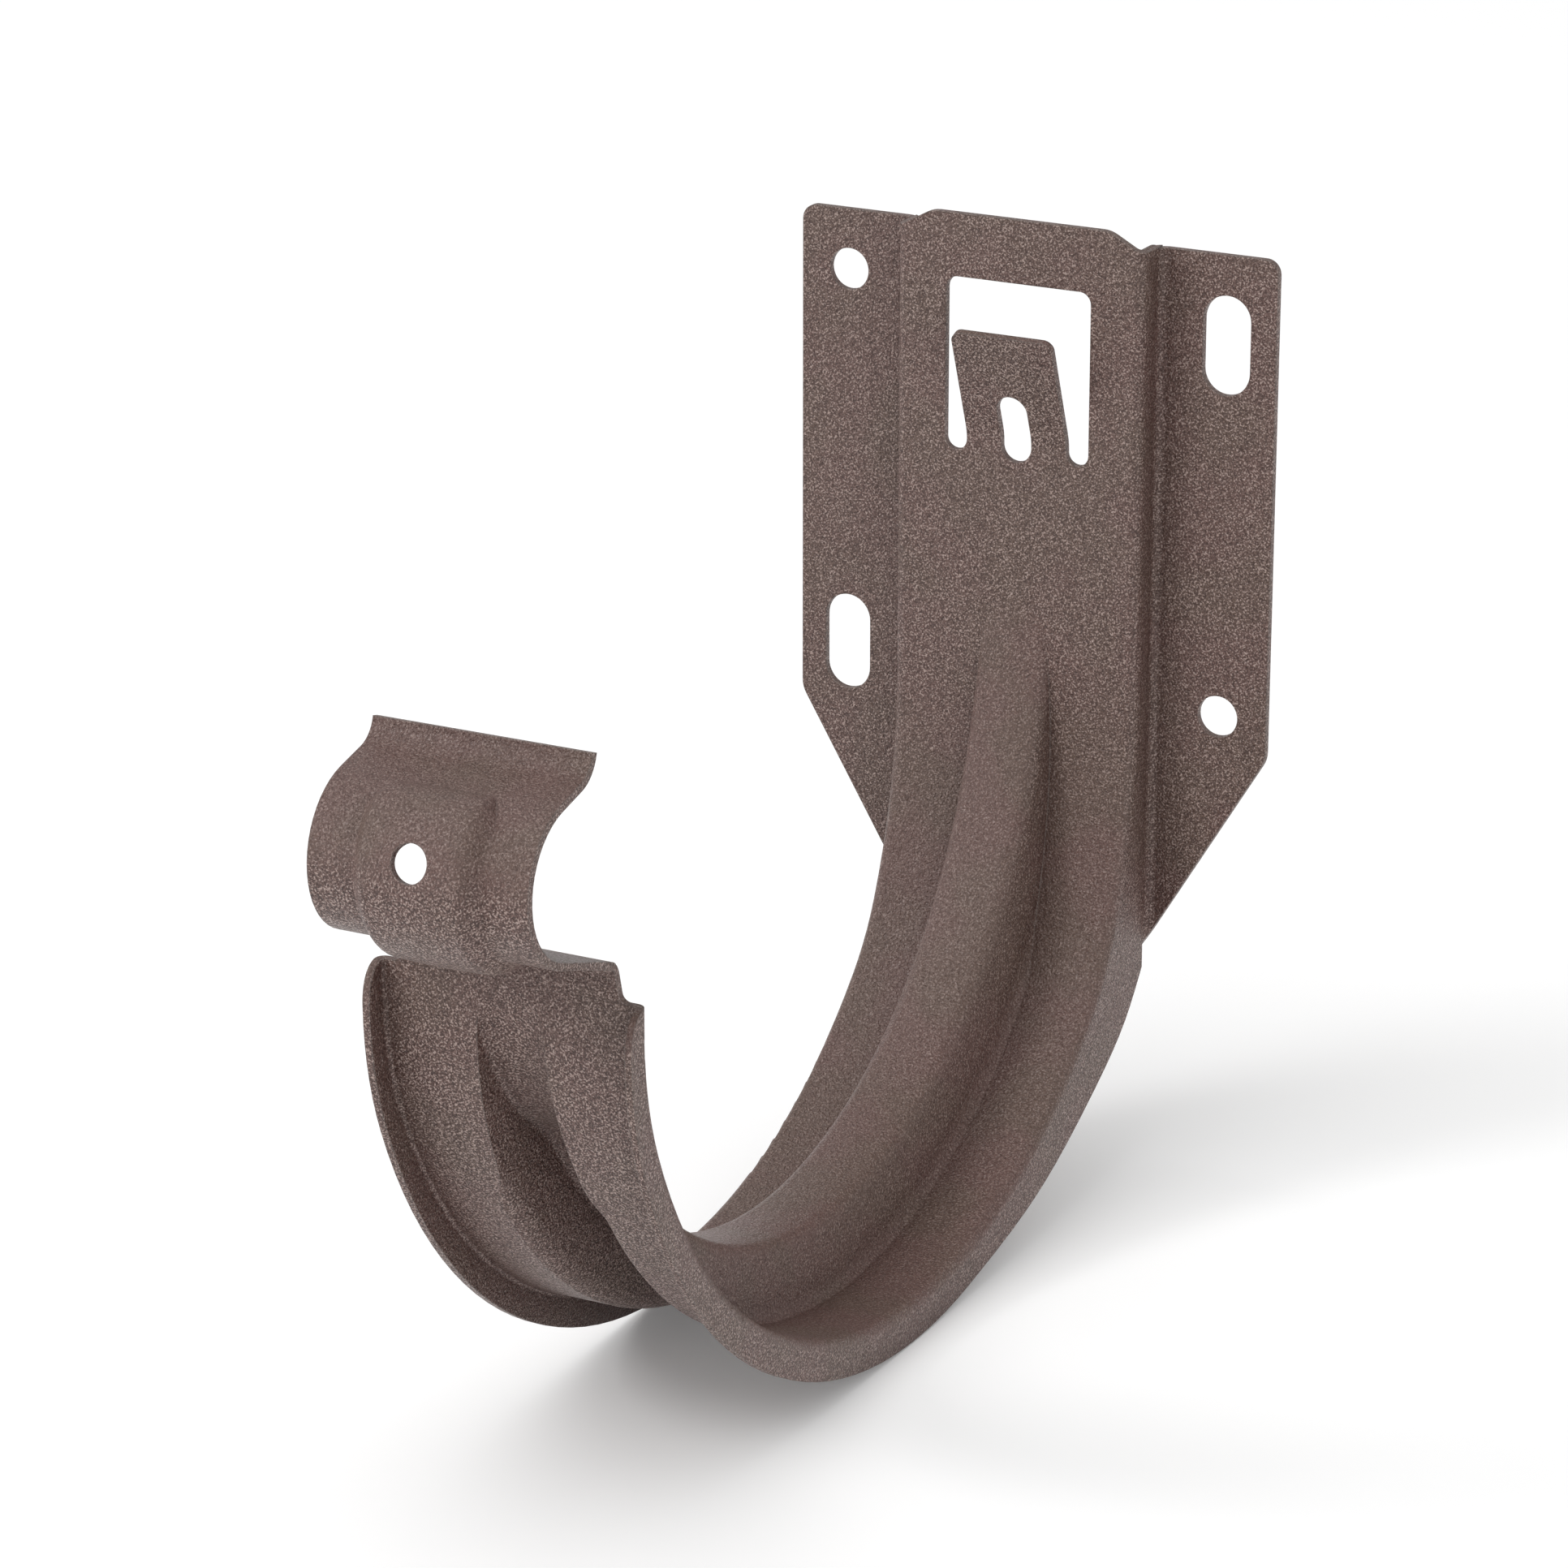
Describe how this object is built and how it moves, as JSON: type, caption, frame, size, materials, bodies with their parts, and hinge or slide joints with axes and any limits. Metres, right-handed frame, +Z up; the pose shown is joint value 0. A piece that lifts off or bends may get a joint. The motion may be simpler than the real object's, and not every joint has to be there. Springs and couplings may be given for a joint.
{
  "type": "gutter bracket",
  "caption": "Pressed sheet hook bracket that fixes a half-round rain gutter to a fascia board, with a ribbed round seat and a bead clip.",
  "frame": {"origin": "on the wall plane, midway between the wings, at the height of the gutter's axis", "axes": "+X along the gutter, to the right for someone facing the wall; +Y into the wall; +Z up; the hook reaches to -Y"},
  "size_m": [0.068, 0.159, 0.128],
  "materials": {
    "coated_steel": "satin textured powder coat, chocolate brown"
  },
  "bodies": {
    "root": {"gutter_bracket": "coated_steel"}
  },
  "joints": []
}
